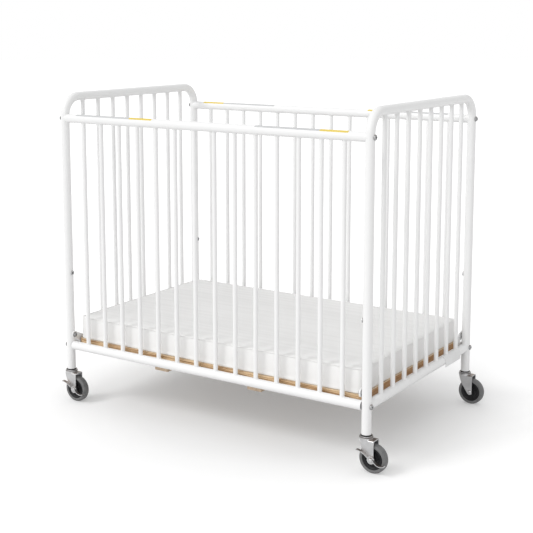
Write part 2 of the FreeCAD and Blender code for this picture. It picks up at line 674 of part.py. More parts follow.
def pedal(axle, shares, front):
    """One curved pedal of the brake lever, bent outwards from the lever's hub."""
    points = [axle + Vector(a * LEVER_REACH, 0, b * LEVER_REACH) for a, b in shares]
    points = [Vector(p.x, front, p.z) for p in points]
    centre_line = Part.Arc(points[0], points[1], points[2])
    half = LEVER_THICKNESS / 2
    arc = centre_line.toShape()
    inner, outer = [], []
    for place in (arc.FirstParameter, (arc.FirstParameter + arc.LastParameter) / 2, arc.LastParameter):
        normal = arc.tangentAt(place).cross(ACROSS) * half
        inner.append(arc.valueAt(place) - normal)
        outer.append(arc.valueAt(place) + normal)
    edges = [
        Part.Arc(inner[0], inner[1], inner[2]).toShape(),
        Part.LineSegment(inner[2], outer[2]).toShape(),
        Part.Arc(outer[2], outer[1], outer[0]).toShape(),
        Part.LineSegment(outer[0], inner[0]).toShape(),
    ]
    return Part.Face(Part.Wire(edges)).extrude(ACROSS * -LEVER_PEDAL_WIDTH)


def brake_lever(axle):
    """Lever on the axle with a raised pedal to lock and a low pedal to release."""
    inner_face = axle.y - FORK_OUTER_WIDTH / 2 - LEVER_CLEARANCE
    start = Vector(axle.x, inner_face, axle.z)
    hub = rod(LEVER_HUB_DIAMETER / 2, start, -ACROSS, LEVER_THICKNESS)
    upper = pedal(axle, LEVER_UPPER_SHARES, inner_face)
    lower = pedal(axle, LEVER_LOWER_SHARES, inner_face)
    bore = rod(AXLE_DIAMETER / 2 + RUNNING_CLEARANCE, start, -ACROSS, LEVER_THICKNESS)
    return hub.fuse([upper, lower]).removeSplitter().cut(bore)


for end_name, end_sign in ENDS:
    save(end_name + "_end_tube", [end_tube(end_sign)])
    save(end_name + "_end_bottom_rail", [end_bottom_rail(end_sign)])
    save(end_name + "_end_spindles", end_spindles(end_sign))

for side_name, side_sign in SIDES:
    save(side_name + "_top_rail", [top_rail(side_sign)])
    save(side_name + "_bottom_rail", [bottom_rail(side_sign)])
    save(side_name + "_spindles", side_spindles(side_sign))

save("rail_bolts", rail_bolts())
save("rail_nuts", rail_nuts())
save("post_inserts", post_inserts())
save("mattress_board", [mattress_board()])
save("board_battens", board_battens())
save("corner_brackets", [corner_bracket(e, s) for e, s, _ in corners()])
save("bracket_bolts", bracket_bolts())
save("board_screws", board_screws())
save("mattress", [mattress()])
save("stem_sockets", stem_sockets())
save("caster_stems", caster_stems())

for side_name, side_sign in SIDES:
    for end_name, end_sign in ENDS:
        corner_name = side_name + "_" + end_name
        foot = Vector(end_sign * POST_X, side_sign * POST_Y, 0)
        wheel_centre = foot + Vector(CASTER_TRAIL, 0, AXLE_HEIGHT)
        has_lever = side_sign < 0
        save(corner_name + "_caster_fork", [caster_fork(foot)])
        save(corner_name + "_axle_bolt", caster_axle(wheel_centre, has_lever))
        save(corner_name + "_wheel_tyre", [wheel_tyre(wheel_centre)])
        save(corner_name + "_wheel_hub", [wheel_hub(wheel_centre)])
        if has_lever:
            save(corner_name + "_brake_lever", [brake_lever(wheel_centre)])
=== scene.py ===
import json
import math

import bmesh
import bpy
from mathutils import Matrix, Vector, noise


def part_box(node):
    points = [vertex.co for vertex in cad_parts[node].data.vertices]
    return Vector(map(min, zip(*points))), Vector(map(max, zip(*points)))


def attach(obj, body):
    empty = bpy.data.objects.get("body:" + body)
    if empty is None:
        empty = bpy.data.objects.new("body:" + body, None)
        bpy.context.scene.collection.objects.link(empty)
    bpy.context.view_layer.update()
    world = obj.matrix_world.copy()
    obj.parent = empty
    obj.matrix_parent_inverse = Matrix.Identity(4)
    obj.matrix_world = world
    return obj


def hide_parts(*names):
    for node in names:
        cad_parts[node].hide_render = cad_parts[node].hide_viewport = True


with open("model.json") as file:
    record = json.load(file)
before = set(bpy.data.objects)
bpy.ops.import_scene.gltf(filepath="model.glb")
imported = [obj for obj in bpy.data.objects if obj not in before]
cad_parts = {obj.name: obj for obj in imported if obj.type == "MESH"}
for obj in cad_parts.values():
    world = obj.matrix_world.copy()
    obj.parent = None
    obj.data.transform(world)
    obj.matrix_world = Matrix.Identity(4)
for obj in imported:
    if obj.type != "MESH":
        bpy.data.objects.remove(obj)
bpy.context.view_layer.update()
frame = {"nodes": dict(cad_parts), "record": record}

# Lengths are in metres; small ones are given in millimetres times MM, and angles in degrees.
# X runs along the crib, Y across it towards the back, and Z up from the floor.
MM = 0.001
ALONG = Vector((1, 0, 0))
ACROSS = Vector((0, 1, 0))
UP = Vector((0, 0, 1))
ROOT_BODY = "crib_frame"
SIDES = ("front", "back")
ENDS = (("left", -1), ("right", 1))
CORNERS = [side + "_" + end for side in SIDES for end, _ in ENDS]
TUBE_RADIUS = 12.7 * MM
SPINDLE_RADIUS = 6.35 * MM

# New meshes: edges sharper than this stay sharp, and turned pieces have this many sides
SHARP_DEGREES = 38.0
ROUND_STEPS = 48

# Camera, fitted to the photograph from the posts, rails and spindles
CAMERA_PLACE = (1.7714, -2.7211, 1.1287)
CAMERA_AZIMUTH = 33.124
CAMERA_PITCH = 8.383
CAMERA_FOCAL_PIXELS = 1121.5
CAMERA_SHIFT = -0.15
FRAME_PIXELS = 533
SENSOR = 36.0

# Light: a white sky, a soft key lamp from the left of the picture and a weaker one from the front.
# Side is the turn from the front towards plus X, and height the rise above the horizon.
SKY_STRENGTH = 0.71
KEY_POWER = 1.0
KEY_SIDE = -36.0
KEY_HEIGHT = 42.0
FRONT_POWER = 0.5
FRONT_SIDE = 8.0
FRONT_HEIGHT = 22.0
LAMP_ANGLE = 24.0

# Floor, with a glow that only direct views and reflections see, stronger beyond the shadow; the weaker glow
# near the object paints shade into the floor there
FLOOR_RADIUS = 30.0
FLOOR_SIDES = 96
FLOOR_COLOUR = 0.80
FLOOR_GLOW_NEAR = 0.165
FLOOR_GLOW_FAR = 0.46
FLOOR_NEAR_RADIUS = 0.42
FLOOR_FAR_RADIUS = 1.2

# Sockets of the mix node that hold colours
MIX_FIRST = 6
MIX_SECOND = 7
MIX_RESULT = 2


def node_tree(name):
    """New material with only an output and a principled shader."""
    material = bpy.data.materials.new(name)
    material.use_nodes = True
    tree = material.node_tree
    tree.nodes.clear()
    output = tree.nodes.new("ShaderNodeOutputMaterial")
    shader = tree.nodes.new("ShaderNodeBsdfPrincipled")
    tree.links.new(shader.outputs[0], output.inputs[0])
    return material, tree, shader


def coordinates(tree, scale=(1, 1, 1)):
    """Object coordinates in metres, scaled for a texture."""
    source = tree.nodes.new("ShaderNodeTexCoord")
    mapping = tree.nodes.new("ShaderNodeMapping")
    mapping.inputs["Scale"].default_value = scale
    tree.links.new(source.outputs["Object"], mapping.inputs["Vector"])
    return mapping.outputs["Vector"]


def noise_of(tree, vector, scale, detail=3.0, roughness=0.5, distortion=0.0):
    """Fractal noise between 0 and 1."""
    node = tree.nodes.new("ShaderNodeTexNoise")
    node.inputs["Scale"].default_value = scale
    node.inputs["Detail"].default_value = detail
    node.inputs["Roughness"].default_value = roughness
    node.inputs["Distortion"].default_value = distortion
    tree.links.new(vector, node.inputs["Vector"])
    return node.outputs["Fac"]


def ramp(tree, value, stops):
    """Colour ramp from pairs of place and colour."""
    node = tree.nodes.new("ShaderNodeValToRGB")
    elements = node.color_ramp.elements
    while len(elements) < len(stops):
        elements.new(0.5)
    for element, (place, colour) in zip(elements, stops):
        element.position = place
        element.color = (*colour, 1)
    tree.links.new(value, node.inputs["Fac"])
    return node.outputs["Color"]


def spread(tree, value, low, high, start=0.0, end=1.0):
    """Value moved from one range to another."""
    node = tree.nodes.new("ShaderNodeMapRange")
    node.inputs["From Min"].default_value = start
    node.inputs["From Max"].default_value = end
    node.inputs["To Min"].default_value = low
    node.inputs["To Max"].default_value = high
    tree.links.new(value, node.inputs["Value"])
    return node.outputs["Result"]


def feed(tree, socket, item):
    """Link a socket or set it to a plain number or colour."""
    if isinstance(item, bpy.types.NodeSocket):
        tree.links.new(item, socket)
    elif isinstance(item, tuple):
        socket.default_value = (*item, 1)
    else:
        socket.default_value = item


def mixed(tree, factor, first, second):
    """Two colours mixed by a factor."""
    node = tree.nodes.new("ShaderNodeMix")
    node.data_type = "RGBA"
    feed(tree, node.inputs[0], factor)
    feed(tree, node.inputs[MIX_FIRST], first)
    feed(tree, node.inputs[MIX_SECOND], second)
    return node.outputs[MIX_RESULT]


def maths(tree, operation, first, second=0.0):
    """One arithmetic node; each side is a socket or a number."""
    node = tree.nodes.new("ShaderNodeMath")
    node.operation = operation
    feed(tree, node.inputs[0], first)
    feed(tree, node.inputs[1], second)
    return node.outputs[0]


def normal_parts(tree):
    """The surface normal's three parts."""
    geometry = tree.nodes.new("ShaderNodeNewGeometry")
    parts = tree.nodes.new("ShaderNodeSeparateXYZ")
    tree.links.new(geometry.outputs["Normal"], parts.inputs[0])
    return parts.outputs


def bump(tree, shader, height, distance, strength=1.0, soft_edge=0.0):
    """Bump from a height field, with its depth in metres, over edges softened by a radius."""
    node = tree.nodes.new("ShaderNodeBump")
    node.inputs["Distance"].default_value = distance
    node.inputs["Strength"].default_value = strength
    tree.links.new(height, node.inputs["Height"])
    tree.links.new(node.outputs["Normal"], shader.inputs["Normal"])
    if soft_edge:
        bevel = tree.nodes.new("ShaderNodeBevel")
        bevel.samples = 4
        bevel.inputs["Radius"].default_value = soft_edge
        tree.links.new(bevel.outputs[0], node.inputs["Normal"])


def enamel():
    """White baked enamel: faint mottling, orange peel, uneven gloss and a few grey scuffs."""
    material, tree, shader = node_tree("frame_enamel")
    vector = coordinates(tree)
    mottle = noise_of(tree, vector, 7.0, 4.0)
    base = ramp(tree, mottle, ((0.3, (0.853, 0.853, 0.852)), (0.7, (0.865, 0.865, 0.864))))
    scuffs = noise_of(tree, coordinates(tree, (1.0, 1.0, 0.35)), 95.0, 5.0, 0.7, 0.8)
    base = mixed(tree, spread(tree, scuffs, 0.0, 0.12, 0.74, 0.8), base, (0.62, 0.61, 0.60))
    tree.links.new(base, shader.inputs["Base Color"])
    rough = noise_of(tree, vector, 60.0, 3.0)
    tree.links.new(spread(tree, rough, 0.36, 0.42), shader.inputs["Roughness"])
    shader.inputs["Coat Weight"].default_value = 0.1
    shader.inputs["Coat Roughness"].default_value = 0.18
    bump(tree, shader, noise_of(tree, vector, 300.0, 2.0), 0.006 * MM, 0.2)
    return material


def plated_steel(name, low, high):
    """Plated pressed steel: cloudy spangle, fine scratches and a painted brown reflection on its upward
    faces.
    """
    material, tree, shader = node_tree(name)
    vector = coordinates(tree)
    cloud = noise_of(tree, vector, 60.0, 3.0)
    base = ramp(tree, cloud, ((0.3, (low, low, low * 1.01)), (0.7, (high, high, high * 1.01))))
    # Painted reflection: a dark brown tint, broken up by noise, laid only on the upward faces
    reflection_breakup = noise_of(tree, vector, 34.0, 3.0)
    upward = spread(tree, normal_parts(tree)["Z"], 0.0, 1.0, 0.5, 0.9)
    painted_reflection = maths(tree, "MULTIPLY", spread(tree, reflection_breakup, 0.55, 0.9, 0.4, 0.65), upward)
    base = mixed(tree, painted_reflection, base, (0.17, 0.12, 0.09))
    tree.links.new(base, shader.inputs["Base Color"])
    shader.inputs["Metallic"].default_value = 0.85
    scratch = noise_of(tree, coordinates(tree, (1, 1, 9)), 500.0, 2.0)
    tree.links.new(spread(tree, scratch, 0.24, 0.38), shader.inputs["Roughness"])
    bump(tree, shader, scratch, 0.05 * MM, 0.4, 0.35 * MM)
    return material


def plywood():
    """Birch plywood: grain on the faces, a brighter tan on top as painted light against its shade, greyed
    underneath, plies on the sides, brown ends.
    """
    material, tree, shader = node_tree("board_plywood")
    grain = noise_of(tree, coordinates(tree, (0.5, 9.0, 9.0)), 12.0, 6.0, 0.62, 0.6)
    # Upward faces: a brighter tan, painted light against the contact shadow on the ledge under the mattress
    upper = ramp(tree, grain, (
        (0.3, (0.56, 0.42, 0.27)), (0.52, (0.70, 0.56, 0.40)), (0.75, (0.78, 0.66, 0.50)),
    ))
    # Downward faces: a darker grey, so that the light they bounce onto the floor stays neutral
    lower = ramp(tree, grain, (
        (0.3, (0.42, 0.40, 0.38)), (0.52, (0.50, 0.48, 0.46)), (0.75, (0.56, 0.54, 0.52)),
    ))
    streak = noise_of(tree, coordinates(tree, (5.0, 5.0, 260.0)), 3.0, 4.0, 0.6)
    plies = ramp(tree, streak, (
        (0.41, (0.30, 0.16, 0.07)), (0.48, (0.54, 0.34, 0.17)), (0.57, (0.75, 0.57, 0.36)),
    ))
    normal = normal_parts(tree)
    end_grain = spread(tree, maths(tree, "ABSOLUTE", normal["X"]), 0.0, 0.7, 0.4, 0.9)
    edge = mixed(tree, end_grain, plies, (0.43, 0.21, 0.08))
    face = mixed(tree, spread(tree, normal["Z"], 0.0, 1.0, -0.3, 0.3), lower, upper)
    tree.links.new(mixed(tree, maths(tree, "ABSOLUTE", normal["Z"]), edge, face), shader.inputs["Base Color"])
    tree.links.new(spread(tree, grain, 0.42, 0.6), shader.inputs["Roughness"])
    bump(tree, shader, grain, 0.3 * MM, 0.5, 0.6 * MM)
    return material


def pine():
    """Sawn pine with its grain along the batten."""
    material, tree, shader = node_tree("batten_pine")
    grain = noise_of(tree, coordinates(tree, (22.0, 0.8, 22.0)), 9.0, 5.0, 0.6, 0.8)
    base = ramp(tree, grain, (
        (0.3, (0.42, 0.30, 0.20)), (0.55, (0.60, 0.46, 0.33)), (0.8, (0.72, 0.60, 0.46)),
    ))
    tree.links.new(base, shader.inputs["Base Color"])
    tree.links.new(spread(tree, grain, 0.55, 0.75), shader.inputs["Roughness"])
    bump(tree, shader, grain, 0.4 * MM, 0.6, 0.8 * MM)
    return material


def cover_cloth():
    """Pale mattress cover: cloth with a fine weave, and faint stripes on its top."""
    material, tree, shader = node_tree("mattress_cover")
    vector = coordinates(tree)
    cloud = noise_of(tree, vector, 5.0, 4.0)
    base = ramp(tree, cloud, ((0.3, (0.825, 0.821, 0.812)), (0.7, (0.858, 0.854, 0.846))))
    stripes = noise_of(tree, coordinates(tree, (0.5, 26.0, 26.0)), 2.4, 3.0, 0.6)
    faint = maths(tree, "MULTIPLY", spread(tree, stripes, 0.0, 0.5, 0.42, 0.7), normal_parts(tree)["Z"])
    base = mixed(tree, faint, base, (0.75, 0.745, 0.735))
    tree.links.new(base, shader.inputs["Base Color"])
    rough = noise_of(tree, vector, 40.0, 3.0)
    tree.links.new(spread(tree, rough, 0.5, 0.66), shader.inputs["Roughness"])
    threads = []
    for direction in ("X", "Y", "Z"):
        wave = tree.nodes.new("ShaderNodeTexWave")
        wave.bands_direction = direction
        wave.inputs["Scale"].default_value = 260.0
        tree.links.new(vector, wave.inputs["Vector"])
        threads.append(wave.outputs["Fac"])
    weave = maths(tree, "ADD", maths(tree, "ADD", threads[0], threads[1]), threads[2])
    fuzz = noise_of(tree, vector, 900.0, 2.0)
    grain = maths(tree, "ADD", maths(tree, "MULTIPLY", weave, 0.3), fuzz)
    bump(tree, shader, grain, 0.08 * MM, 0.5)
    shader.inputs["Sheen Weight"].default_value = 0.08
    shader.inputs["Sheen Roughness"].default_value = 0.4
    return material


def tyre_rubber():
    """Grey non-marking rubber with dust in its pores."""
    material, tree, shader = node_tree("tyre_rubber")
    vector = coordinates(tree)
    dust = noise_of(tree, vector, 70.0, 5.0, 0.65)
    base = ramp(tree, dust, (
        (0.3, (0.13, 0.13, 0.132)), (0.62, (0.17, 0.17, 0.17)), (0.85, (0.23, 0.225, 0.22)),
    ))
    tree.links.new(base, shader.inputs["Base Color"])
    tree.links.new(spread(tree, dust, 0.5, 0.7), shader.inputs["Roughness"])
    bump(tree, shader, noise_of(tree, vector, 900.0, 3.0), 0.1 * MM, 0.5)
    return material


def dark_plastic(name, colour, roughness):
    """Moulded dark plastic with a fine texture."""
    material, tree, shader = node_tree(name)
    vector = coordinates(tree)
    cloud = noise_of(tree, vector, 120.0, 4.0)
    low = tuple(c * 0.8 for c in colour)
    high = tuple(c * 1.35 for c in colour)
    tree.links.new(ramp(tree, cloud, ((0.3, low), (0.75, high))), shader.inputs["Base Color"])
    tree.links.new(spread(tree, cloud, roughness - 0.08, roughness + 0.12), shader.inputs["Roughness"])
    shader.inputs["Specular IOR Level"].default_value = 0.3
    bump(tree, shader, noise_of(tree, vector, 1200.0, 2.0), 0.05 * MM, 0.4)
    return material


def paint(name, colour, roughness=0.42):
    """Printed or painted colour with slight unevenness."""
    material, tree, shader = node_tree(name)
    vector = coordinates(tree)
    cloud = noise_of(tree, vector, 30.0, 4.0)
    low = tuple(c * 0.94 for c in colour)
    high = tuple(c * 1.04 for c in colour)
    tree.links.new(ramp(tree, cloud, ((0.3, low), (0.7, high))), shader.inputs["Base Color"])
    tree.links.new(spread(tree, cloud, roughness - 0.05, roughness + 0.08), shader.inputs["Roughness"])
    bump(tree, shader, noise_of(tree, vector, 600.0, 2.0), 0.04 * MM, 0.4)
    return material


MATERIALS = {
    "frame_enamel": enamel(),
    "zinc_plate": plated_steel("zinc_plate", 0.47, 0.56),
    "bolt_steel": plated_steel("bolt_steel", 0.30, 0.38),
    "board_plywood": plywood(),
    "batten_pine": pine(),
    "mattress_cover": cover_cloth(),
    "tyre_rubber": tyre_rubber(),
    "hub_plastic": dark_plastic("hub_plastic", (0.010, 0.010, 0.011), 0.55),
    "socket_plastic": dark_plastic("socket_plastic", (0.018, 0.018, 0.02), 0.45),
    "seam": paint("seam_thread", (0.85, 0.846, 0.838), 0.6),
    "band_grey": paint("band_grey", (0.58, 0.585, 0.59)),
    "band_yellow": paint("band_yellow", (0.76, 0.58, 0.10)),
    "plate": paint("plate_white", (0.80, 0.80, 0.80), 0.35),
}


def shade_smooth(mesh):
    """Smooth shading on each face of a mesh."""
    for polygon in mesh.polygons:
        polygon.use_smooth = True


def mesh_object(name, build, finish, body):
    """Object from a function that fills a bmesh; it rides on a body and has a finish and a slot."""
    mesh = bpy.data.meshes.new(name)
    work = bmesh.new()
    build(work)
    work.normal_update()
    work.to_mesh(mesh)
    work.free()
    shade_smooth(mesh)
    mesh.set_sharp_from_angle(angle=math.radians(SHARP_DEGREES))
    mesh.materials.append(MATERIALS[finish])
    thing = bpy.data.objects.new(name, mesh)
    bpy.context.scene.collection.objects.link(thing)
    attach(thing, body)
    return thing


def in_metres(rows):
    """Rows given in millimetres, in metres."""
    return [tuple(value * MM for value in row) for row in rows]


def corners_of(node):
    """Lowest and highest corner of a node's box."""
    return [Vector(corner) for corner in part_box(node)]


def centre_of(node):
    """Middle of a node's box."""
    low, high = corners_of(node)
    return (low + high) / 2


def skin(work, rings, closed=False):
    """Faces between neighbouring rings of vertices; the ends are capped unless it is closed."""
    pairs = list(zip(rings, rings[1:]))
    if closed:
        pairs.append((rings[-1], rings[0]))
    faces = []
    for lower, upper in pairs:
        count = len(lower)
        for k in range(count):
            after = (k + 1) % count
            faces.append(work.faces.new((lower[k], lower[after], upper[after], upper[k])))
    if not closed:
        faces.append(work.faces.new(rings[0][::-1]))
        faces.append(work.faces.new(rings[-1]))
    bmesh.ops.recalc_face_normals(work, faces=faces)


def hexagon_reach(turn, width):
    """Distance from the middle of a hexagon to its edge, in the direction of a turn."""
    sixth = math.pi / 3
    return width / 2 / math.cos((turn + sixth / 2) % sixth - sixth / 2)


def lathe(work, centre, axis, profile, direction=1, closed=False):
    """Turn a profile about an axis. Its rows are a radius, a place along the axis and, where the
    ring is cut to a hexagon, the width across its flats."""
    across, aside, along = {"X": (1, 2, 0), "Y": (2, 0, 1), "Z": (0, 1, 2)}[axis]
    rings = []
    for radius, place, *width in profile:
        ring = []
        for k in range(ROUND_STEPS):
            turn = 2 * math.pi * k / ROUND_STEPS
            reach = min(radius, hexagon_reach(turn, width[0])) if width else radius
            point = Vector(centre)
            point[across] += reach * math.cos(turn)
            point[aside] += reach * math.sin(turn)
            point[along] += direction * place
            ring.append(work.verts.new(point))
        rings.append(ring)
    skin(work, rings, closed)


# Direction that no bead runs along, from which the rings of a bead are squared to its path
SKEW = Vector((0.31, 0.17, 0.94))


def sweep(work, points, radius, sides=8):
    """Round bead of a radius along a closed path of points."""
    rings = []
    for k, point in enumerate(points):
        ahead = (points[(k + 1) % len(points)] - points[k - 1]).normalized()
        across = ahead.cross(SKEW).normalized()
        up = across.cross(ahead)
        ring = []
        for step in range(sides):
            turn = 2 * math.pi * step / sides
            ring.append(work.verts.new(point + (across * math.cos(turn) + up * math.sin(turn)) * radius))
        rings.append(ring)
    skin(work, rings, closed=True)


def dress_frame():
    """Procedural material on each CAD node, by its slot in the record."""
    for entry in frame["record"]["subparts"]:
        node = frame["nodes"][entry["node"]]
        node.data.materials.clear()
        node.data.materials.append(MATERIALS[entry["material_slot"]])


# Wheels: half profiles from the inner edge outwards, as radius and distance from the middle plane,
# in millimetres
TYRE_HALF = (
    (28.5, 8.6), (28.9, 9.9), (29.8, 10.5), (32.2, 10.9), (33.6, 10.9), (34.6, 10.5), (36.2, 9.3),
    (37.2, 7.9), (37.75, 6.0), (38.0, 3.0),
)
HUB_HALF = (
    (4.2, 12.2), (7.6, 12.2), (8.5, 11.6), (9.0, 10.0), (9.6, 4.6), (10.6, 3.6), (19.0, 3.2), (20.2, 4.0),
    (20.8, 6.4), (22.6, 6.8), (23.6, 7.4), (25.4, 9.5), (26.4, 9.9), (27.8, 9.8), (28.5, 9.0),
)
RIB_COUNT = 6
RIB_THICKNESS = 1.6 * MM
RIB_INNER = 9.2 * MM
RIB_OUTER = 20.6 * MM
RIB_WIDTH = 11.2 * MM


def both_halves(half):
    """Closed loop of a profile that is the same on both sides of the wheel's middle plane."""
    near = [(radius, -off) for radius, off in half]
    return in_metres(near + list(reversed(half)))


def make_tyre(corner):
    """Tyre with rounded shoulders and a crease between its side and its tread."""
    node = corner + "_wheel_tyre"
    axle = centre_of(node)

    def build(work):
        lathe(work, axle, "Y", both_halves(TYRE_HALF), closed=True)

    tyre = mesh_object(node + "_round", build, "tyre_rubber", corner + "_wheel")
    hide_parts(node)


def make_hub(corner):
    """Moulded hub: stepped dish, boss and low ribs between them."""
    node = corner + "_wheel_hub"
    axle = centre_of(node)

    def build(work):
        lathe(work, axle, "Y", both_halves(HUB_HALF), closed=True)
        for k in range(RIB_COUNT):
            turn = 2 * math.pi * k / RIB_COUNT
            out = Vector((math.cos(turn), 0, math.sin(turn)))
            side = Vector((-math.sin(turn), 0, math.cos(turn))) * (RIB_THICKNESS / 2)
            deep = Vector((0, RIB_WIDTH / 2, 0))
            places = ((RIB_INNER, -1), (RIB_OUTER, -1), (RIB_OUTER, 1), (RIB_INNER, 1))
            outline = [axle + out * reach + side * s for reach, s in places]
            skin(work, [[work.verts.new(p + deep * d) for p in outline] for d in (-1, 1)])

    hub = mesh_object(node + "_moulded", build, "hub_plastic", corner + "_wheel")
    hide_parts(node)


# Turned profiles of the fasteners, in millimetres, from the clamped face outwards. A third value
# is the width across the flats of a hexagon.
BUTTON_HEAD = (
    (7.2, 0.0), (7.25, 1.4), (6.8, 2.9), (5.6, 3.9), (4.2, 4.35), (3.5, 4.4), (9.0, 4.2, 5.0),
    (9.0, 0.6, 5.0), (0.05, 0.5),
)
RAIL_SHANK = ((4.0, 0.0), (4.0, -41.0))
WASHER = ((3.1, 0.0), (7.8, 0.0), (8.0, 0.3), (7.9, 1.2), (7.6, 1.4), (3.1, 1.4))
SMALL_HEAD = (
    (6.1, 1.4), (6.2, 2.3), (5.7, 3.8), (4.6, 4.7), (3.4, 5.0), (3.0, 5.0), (9.0, 4.8, 4.0),
    (9.0, 1.6, 4.0), (0.05, 1.5),
)
SMALL_SHANK = ((3.0, 0.0), (3.0, -15.3))
BRACKET_BOLT_GRIP = 15.4 * MM
AXLE_HEAD = ((6.3, 0.0), (6.5, 0.8), (6.1, 1.6), (5.6, 2.8), (4.5, 3.7), (2.6, 4.0), (0.05, 4.0))
AXLE_NUT = (
    (9.0, 0.0, 13.0), (9.0, 3.0, 13.0), (6.9, 3.8, 13.0), (6.2, 4.0), (4.6, 4.0), (4.2, 3.5), (3.9, 3.6),
    (3.3, 4.0), (0.05, 4.0),
)
AXLE_RADIUS = 4.0 * MM
AXLE_END_HEIGHT = 4.0 * MM


def make_rail_bolts():
    """Button head screws with hexagonal sockets, on the outer faces of the posts."""
    rails = [centre_of(side + rail) for side in SIDES for rail in ("_bottom_rail", "_top_rail")]

    def build(work):
        for end, sign in ENDS:
            low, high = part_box(end + "_end_tube")
            face = high[0] if sign > 0 else low[0]
            for rail in rails:
                seat = Vector((face, rail.y, rail.z))
                lathe(work, seat, "X", in_metres(BUTTON_HEAD), sign)
                lathe(work, seat, "X", in_metres(RAIL_SHANK), sign)

    bolts = mesh_object("rail_bolt_heads", build, "bolt_steel", ROOT_BODY)
    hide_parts("rail_bolts")


def make_bracket_bolts():
    """Washer and button head on each corner bracket."""
    low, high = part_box("bracket_bolts")
    height = centre_of("bracket_bolts").z

    def build(work):
        for end, sign in ENDS:
            tail = high[0] if sign > 0 else low[0]
            for side in SIDES:
                seat = Vector((tail - sign * BRACKET_BOLT_GRIP, centre_of(side + "_bottom_rail").y, height))
                lathe(work, seat, "X", in_metres(WASHER), -sign, closed=True)
                lathe(work, seat, "X", in_metres(SMALL_HEAD), -sign)
                lathe(work, seat, "X", in_metres(SMALL_SHANK), -sign)

    bolts = mesh_object("bracket_bolt_heads", build, "bolt_steel", ROOT_BODY)
    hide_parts("bracket_bolts")


def make_axle_bolt(corner):
    """Axle with a domed head in front and a chamfered nut behind."""
    node = corner + "_axle_bolt"
    low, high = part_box(node)
    axle = centre_of(corner + "_wheel_tyre")
    head_seat = Vector((axle.x, low[1] + AXLE_END_HEIGHT, axle.z))
    nut_seat = Vector((axle.x, high[1] - AXLE_END_HEIGHT, axle.z))
    shank = ((AXLE_RADIUS, 0.0), (AXLE_RADIUS, (nut_seat - head_seat).length))

    def build(work):
        lathe(work, head_seat, "Y", in_metres(AXLE_HEAD), -1)
        lathe(work, head_seat, "Y", shank)
        lathe(work, nut_seat, "Y", in_metres(AXLE_NUT))

    bolt = mesh_object(node + "_turned", build, "zinc_plate", corner + "_caster")
    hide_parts(node)


# Caster stem, dish and kingpin: radius and height from the stem's top, in millimetres
STEM_PROFILE = (
    (0.05, 0.0), (4.8, 0.0), (5.5, -0.8), (5.5, -30.0), (13.9, -30.0), (14.8, -29.9), (15.3, -29.4),
    (16.0, -29.2), (16.5, -29.4), (16.7, -29.9), (16.5, -30.6), (16.0, -31.0), (16.1, -31.8),
    (15.8, -32.4), (15.0, -32.6), (5.0, -32.6), (5.0, -39.5), (8.0, -39.5), (7.9, -40.6), (6.6, -41.5),
    (0.05, -41.7),
)


def make_caster_stems():
    """Stem, pressed race dish with a rolled rim and riveted kingpin under each post."""
    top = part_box("caster_stems")[1][2]

    def build(work):
        for end, _ in ENDS:
            for side in SIDES:
                post = Vector((centre_of(end + "_end_tube").x, centre_of(side + "_bottom_rail").y, top))
                lathe(work, post, "Z", in_metres(STEM_PROFILE))

    stems = mesh_object("caster_stems_pressed", build, "zinc_plate", ROOT_BODY)
    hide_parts("caster_stems")


# Lip of each plastic socket round the foot of its post: radius and height from the foot,
# in millimetres
LIP_PROFILE = ((12.75, -2.0), (13.6, -2.0), (13.7, 0.6), (13.3, 1.3), (12.75, 1.3))


def make_socket_lips():
    """Dark lip of the caster socket that shows round the foot of each post."""
    def build(work):
        for end, _ in ENDS:
            low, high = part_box(end + "_end_tube")
            for side in SIDES:
                foot = Vector(((low[0] + high[0]) / 2, centre_of(side + "_bottom_rail").y, low[2]))
                lathe(work, foot, "Z", in_metres(LIP_PROFILE), closed=True)

    mesh_object("socket_lips", build, "socket_plastic", ROOT_BODY)


# Weld beads where the spindles meet their rails and the end rails meet the posts
BEAD_RADIUS = 1.1 * MM
BEAD_STEPS = 24
SPINDLE_COUNTS = {"front": 14, "back": 14, "left_end": 8, "right_end": 8}


def bead_path(foot, rod_axis, tube_axis, rod_radius):
    """Closed line where a rod that leaves a tube's axis at a foot point meets the tube's surface."""
    third = rod_axis.cross(tube_axis)
    path = []
    for k in range(BEAD_STEPS):
        turn = 2 * math.pi * k / BEAD_STEPS
        off = rod_radius * math.sin(turn)
        rise = math.sqrt(max(TUBE_RADIUS ** 2 - off ** 2, 0.0))
        path.append(foot + tube_axis * rod_radius * math.cos(turn) + third * off + rod_axis * rise)
    return path


def make_welds():
    """Small beads of weld under the enamel."""
    def build(work):
        for row, count in SPINDLE_COUNTS.items():
            low, high = corners_of(row + "_spindles")
            is_side = row in SIDES
            rail_axis = ALONG if is_side else ACROSS
            lower = centre_of(row + "_bottom_rail").z
            upper = centre_of(row + "_top_rail").z if is_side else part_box(row + "_tube")[1][2] - TUBE_RADIUS
            middle = (low + high) / 2
            reach = (high - low).dot(rail_axis) / 2 - SPINDLE_RADIUS
            for k in range(count):
                place = middle + rail_axis * reach * (2 * k / (count - 1) - 1)
                for height, rod_axis in ((lower, UP), (upper, -UP)):
                    foot = Vector((place.x, place.y, height))
                    sweep(work, bead_path(foot, rod_axis, rail_axis, SPINDLE_RADIUS), BEAD_RADIUS)
        for end, _ in ENDS:
            rail = centre_of(end + "_end_bottom_rail")
            for side, rod_axis in zip(SIDES, (ACROSS, -ACROSS)):
                foot = Vector((rail.x, centre_of(side + "_bottom_rail").y, rail.z))
                sweep(work, bead_path(foot, rod_axis, UP, TUBE_RADIUS), BEAD_RADIUS)

    mesh_object("weld_beads", build, "frame_enamel", ROOT_BODY)


